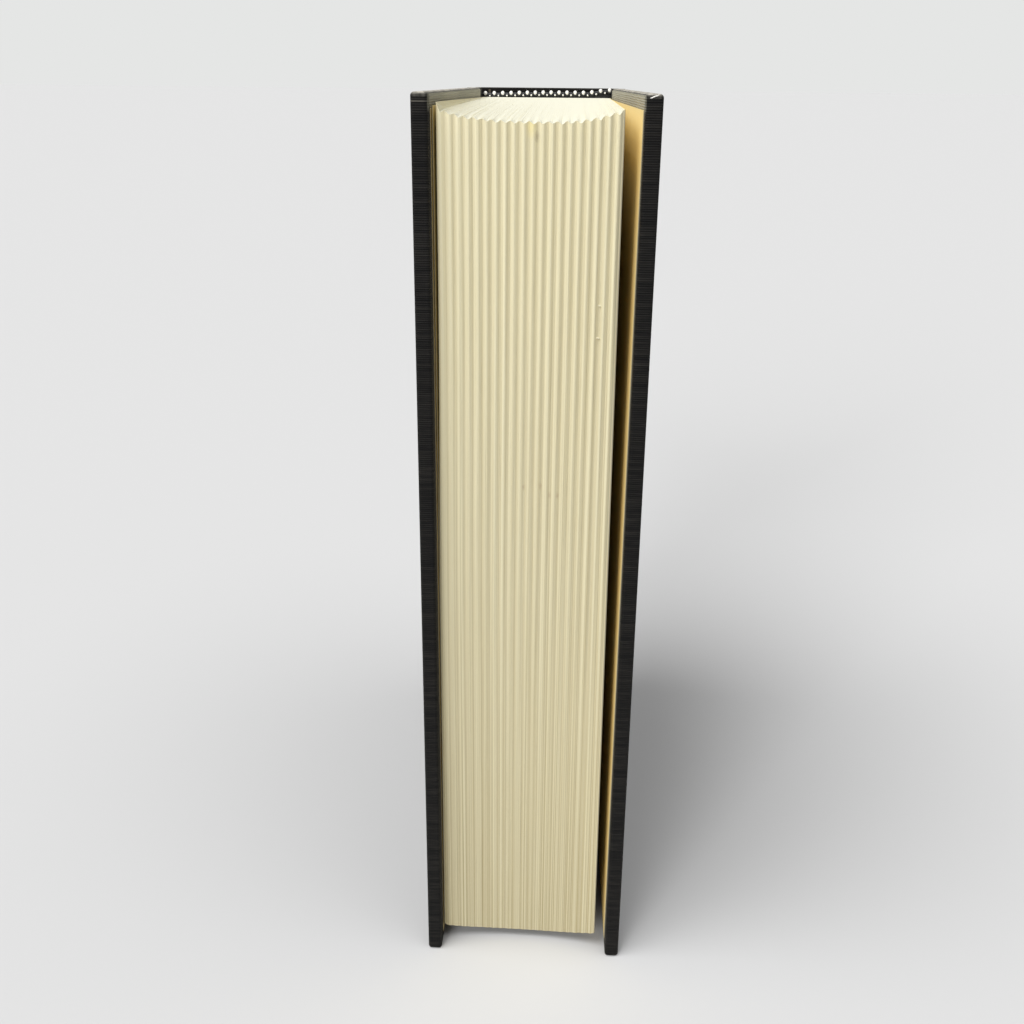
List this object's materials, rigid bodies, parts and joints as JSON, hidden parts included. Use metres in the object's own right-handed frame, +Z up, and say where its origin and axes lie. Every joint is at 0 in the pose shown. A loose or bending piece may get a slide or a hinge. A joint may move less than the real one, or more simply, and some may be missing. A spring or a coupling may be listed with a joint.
{
  "type": "hardback book",
  "caption": "Thick case-bound hardback standing on its tail edges: cloth-covered boards that swing open on cloth joints round a sewn block of leaves with head and tail bands.",
  "frame": {"origin": "middle of the footprint, on the plane the book stands on", "axes": "+Z up along the height, -Y towards the fore-edge, +Y towards the spine, -X towards the front cover"},
  "size_m": [0.0568, 0.1668, 0.242],
  "materials": {
    "leaves": "matte",
    "endpaper": "matte",
    "lining_paper": "matte",
    "board": "matte",
    "book_cloth": "matte",
    "gauze": "matte",
    "band": "satin"
  },
  "bodies": {
    "book_block": {"text_block": "leaves", "front_free_endpaper": "endpaper", "back_free_endpaper": "endpaper", "head_band": "band", "tail_band": "band", "spine_mull": "gauze", "spine_lining": "lining_paper", "spine_stiffener": "board", "spine_cloth": "book_cloth"},
    "front_joint": {"front_joint_cloth": "book_cloth", "front_joint_mull": "gauze", "front_joint_paper": "endpaper"},
    "back_joint": {"back_joint_cloth": "book_cloth", "back_joint_mull": "gauze", "back_joint_paper": "endpaper"},
    "front_cover": {"front_board": "board", "front_cover_cloth": "book_cloth", "front_cover_mull": "gauze", "front_pastedown": "endpaper"},
    "back_cover": {"back_board": "board", "back_cover_cloth": "book_cloth", "back_cover_mull": "gauze", "back_pastedown": "endpaper"}
  },
  "joints": [
    {"name": "front_shoulder_fold", "type": "hinge", "parent": "book_block", "child": "front_joint", "pos_m": [-0.02474, 0.07308, 0], "axis": [0, 0, -1], "range_deg": [0, 90]},
    {"name": "front_board_fold", "type": "hinge", "parent": "front_joint", "child": "front_cover", "pos_m": [-0.02474, 0.06708, 0], "axis": [0, 0, -1], "range_deg": [0, 90]},
    {"name": "back_shoulder_fold", "type": "hinge", "parent": "book_block", "child": "back_joint", "pos_m": [0.02156, 0.07308, 0], "axis": [0, 0, 1], "range_deg": [0, 90]},
    {"name": "back_board_fold", "type": "hinge", "parent": "back_joint", "child": "back_cover", "pos_m": [0.02156, 0.06708, 0], "axis": [0, 0, 1], "range_deg": [-0.9, 88.7]}
  ]
}
